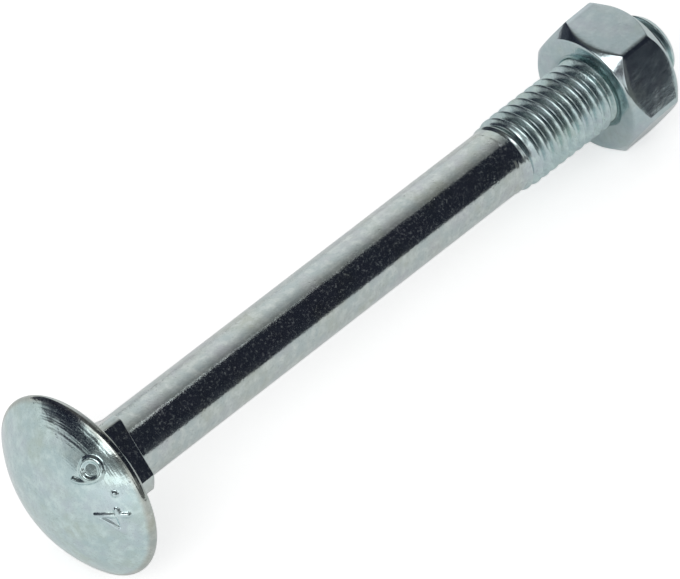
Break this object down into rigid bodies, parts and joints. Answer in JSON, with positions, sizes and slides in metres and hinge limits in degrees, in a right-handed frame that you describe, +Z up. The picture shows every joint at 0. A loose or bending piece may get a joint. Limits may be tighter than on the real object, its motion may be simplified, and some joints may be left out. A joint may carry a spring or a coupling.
{
  "type": "carriage bolt with nut",
  "caption": "Zinc-plated carriage bolt with a domed round head, a square neck, a partly threaded shank and a hexagon nut run onto the thread.",
  "frame": {"origin": "middle of the box around the bolt and nut, on the surface that they rest on", "axes": "+X runs along the bolt from its head to its tip, +Z is up, and +Y makes the frame right-handed"},
  "size_m": [0.0846, 0.0195, 0.0195],
  "materials": {
    "zinc_bolt": "bright blue-white zinc plate on steel, smooth and glossy with fine forging marks",
    "zinc_nut": "bright blue-white zinc plate on steel, glossy flats with fine scratches"
  },
  "bodies": {
    "bolt": {"bolt": "zinc_bolt"},
    "nut": {"nut": "zinc_nut"}
  },
  "joints": [
    {"name": "nut_travel", "type": "slide", "parent": "bolt", "child": "nut", "axis": [0.999, 0, -0.0437], "range_m": [-0.01125, 0.00625]}
  ]
}
